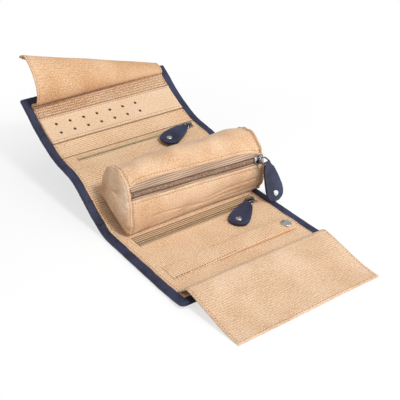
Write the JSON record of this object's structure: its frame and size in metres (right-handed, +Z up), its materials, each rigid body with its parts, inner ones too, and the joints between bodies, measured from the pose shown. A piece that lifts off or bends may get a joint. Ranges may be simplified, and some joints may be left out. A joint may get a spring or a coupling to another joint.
{
  "type": "jewelry roll",
  "caption": "Open fold-out jewelry roll with a navy shell, tan lining, a barrel zip pouch, zip pockets, a ring strap, an earring strip and end flaps.",
  "frame": {"origin": "middle of the flat underside of the front and middle panels, on the table", "axes": "+X across the roll towards the pouch's zip pull, +Y towards the raised back edge, +Z up"},
  "size_m": [0.2112, 0.4107, 0.1406],
  "materials": {
    "navy_leather": "smooth grained navy leather",
    "navy_cloth": "navy coated cloth",
    "tan_cloth": "tan brushed weave",
    "interlining": "plain padding",
    "brown_tape": "ribbed woven tape",
    "olive_tape": "woven tape",
    "coil": "satin coil",
    "gunmetal": "dark polished metal",
    "nickel": "bright metal"
  },
  "bodies": {
    "middle": {"shell_middle": "navy_leather", "interlining_middle": "interlining", "lining_middle": "tan_cloth", "pouch_wall": "tan_cloth", "pouch_cap_left": "tan_cloth", "pouch_cap_right": "tan_cloth", "barrel_tape_low": "olive_tape", "barrel_tape_high": "olive_tape", "barrel_coil": "coil"},
    "front": {"shell_front": "navy_leather", "interlining_front": "interlining", "lining_front": "tan_cloth", "zip_tape_front_near": "brown_tape", "zip_tape_front_far": "brown_tape", "zip_coil_front": "coil", "snap_stud": "nickel"},
    "front_flap_root": {"front_flap_root": "tan_cloth"},
    "front_flap": {"front_flap": "tan_cloth"},
    "strap": {"ring_strap": "tan_cloth", "snap_cap": "nickel"},
    "back": {"shell_back": "navy_cloth", "interlining_back": "interlining", "lining_back": "tan_cloth", "zip_tape_back_near": "olive_tape", "zip_tape_back_far": "olive_tape", "zip_coil_back": "coil"},
    "upper": {"shell_upper": "navy_cloth", "interlining_upper": "interlining", "lining_upper": "tan_cloth", "earring_strip": "tan_cloth"},
    "back_flap": {"back_flap": "tan_cloth"},
    "slider_front": {"slider_front": "gunmetal"},
    "pull_front": {"loop_front": "gunmetal", "tab_front": "navy_leather", "tab_stud_front": "nickel"},
    "slider_back": {"slider_back": "gunmetal"},
    "pull_back": {"loop_back": "gunmetal", "tab_back": "navy_leather", "tab_stud_back": "nickel"},
    "slider_barrel": {"slider_barrel": "gunmetal"},
    "loop_barrel": {"loop_barrel": "gunmetal"},
    "tab_barrel": {"tab_barrel": "navy_leather", "tab_stud_barrel": "nickel"}
  },
  "joints": [
    {"name": "front_fold", "type": "hinge", "parent": "middle", "child": "front", "pos_m": [0, -0.004, 0.0047], "axis": [-1, 0, 0], "range_deg": [0, 36]},
    {"name": "front_flap_hinge", "type": "hinge", "parent": "front", "child": "front_flap_root", "pos_m": [0, -0.107, 0.00717], "axis": [-1, 0, 0], "range_deg": [0, 20]},
    {"name": "front_flap_fold", "type": "hinge", "parent": "front_flap_root", "child": "front_flap", "pos_m": [0, -0.11983, 0.01764], "axis": [-1, 0, 0], "range_deg": [0, 176]},
    {"name": "ring_strap_hinge", "type": "hinge", "parent": "front", "child": "strap", "pos_m": [-0.081, -0.07725, 0.0046], "axis": [0, 1, 0], "range_deg": [-90, 0]},
    {"name": "back_fold", "type": "hinge", "parent": "middle", "child": "back", "pos_m": [0, 0.05878, 0.02928], "axis": [1, 0, 0], "range_deg": [-16, 50]},
    {"name": "upper_fold", "type": "hinge", "parent": "back", "child": "upper", "pos_m": [0, 0.12484, 0.04844], "axis": [1, 0, 0], "range_deg": [-16, 50]},
    {"name": "back_flap_hinge", "type": "hinge", "parent": "upper", "child": "back_flap", "pos_m": [0, 0.187, 0.08328], "axis": [-1, 0, 0], "range_deg": [-50, 5]},
    {"name": "slider_front_slide", "type": "slide", "parent": "front", "child": "slider_front", "axis": [1, 0, 0], "range_m": [-0.149, 0]},
    {"name": "pull_front_hinge", "type": "hinge", "parent": "slider_front", "child": "pull_front", "pos_m": [0.075, -0.0172, 0.0082], "axis": [0.5592, -0.829, 0], "range_deg": [-80, 0]},
    {"name": "slider_back_slide", "type": "slide", "parent": "back", "child": "slider_back", "axis": [1, 0, 0], "range_m": [-0.149, 0]},
    {"name": "pull_back_hinge", "type": "hinge", "parent": "slider_back", "child": "pull_back", "pos_m": [0.0775, 0.10809, 0.04891], "axis": [-0.4067, 0.9086, 0.0953], "range_deg": [0, 157]},
    {"name": "slider_barrel_slide", "type": "slide", "parent": "middle", "child": "slider_barrel", "axis": [0.9993, -0.0296, -0.0243], "range_m": [-0.1581, 0]},
    {"name": "loop_barrel_lift", "type": "hinge", "parent": "slider_barrel", "child": "loop_barrel", "pos_m": [0.091, -0.0096, 0.05061], "axis": [-0.9903, -0.0496, -0.13], "range_deg": [0, 105]},
    {"name": "tab_barrel_swing", "type": "hinge", "parent": "loop_barrel", "child": "tab_barrel", "pos_m": [0.09432, -0.0188, 0.04881], "axis": [-0.9903, -0.0496, -0.13], "range_deg": [0, 101]}
  ],
  "couplings": [
    {"joint": "front_flap_fold", "follows": "front_flap_hinge", "ratio": 8.795},
    {"joint": "upper_fold", "follows": "back_fold", "ratio": 1},
    {"joint": "loop_barrel_lift", "follows": "slider_barrel_slide", "rad_per_m": -11.586},
    {"joint": "tab_barrel_swing", "follows": "front_fold", "ratio": 2.8}
  ]
}
